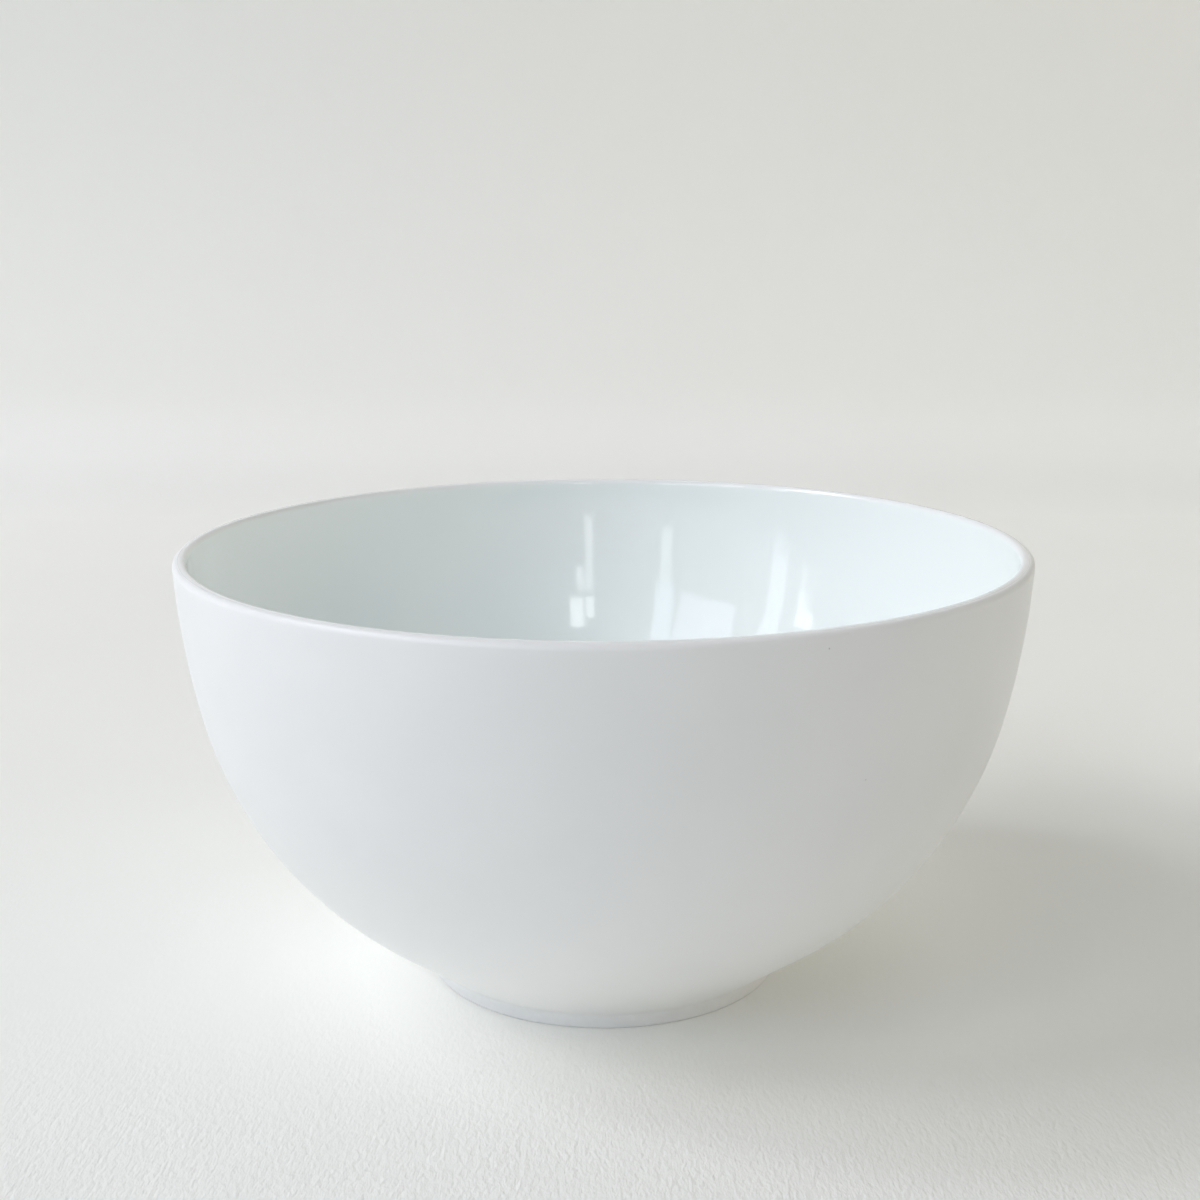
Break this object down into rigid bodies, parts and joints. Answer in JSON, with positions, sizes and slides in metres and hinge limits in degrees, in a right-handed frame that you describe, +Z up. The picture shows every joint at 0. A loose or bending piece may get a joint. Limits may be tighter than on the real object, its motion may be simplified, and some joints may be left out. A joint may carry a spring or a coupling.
{
  "type": "latte bowl",
  "caption": "Round handleless porcelain bowl for milk coffee, matte outside and glazed inside, with a near-plumb wall, a round belly and a low foot ring.",
  "frame": {"origin": "on the table under the middle of the foot ring", "axes": "+Z up along the bowl's axis of revolution; the bowl is round, so X and Y are alike, and the picture looks along +Y"},
  "size_m": [0.14, 0.14, 0.0735],
  "materials": {
    "bisque": "matte, smooth unglazed white porcelain",
    "foot_bisque": "matte, rubbed smooth where it meets the table",
    "glaze": "glossy, pale cool glaze over white porcelain"
  },
  "bodies": {
    "root": {"bowl_body": "bisque", "foot_ring": "foot_bisque", "glaze_lining": "glaze"}
  },
  "joints": []
}
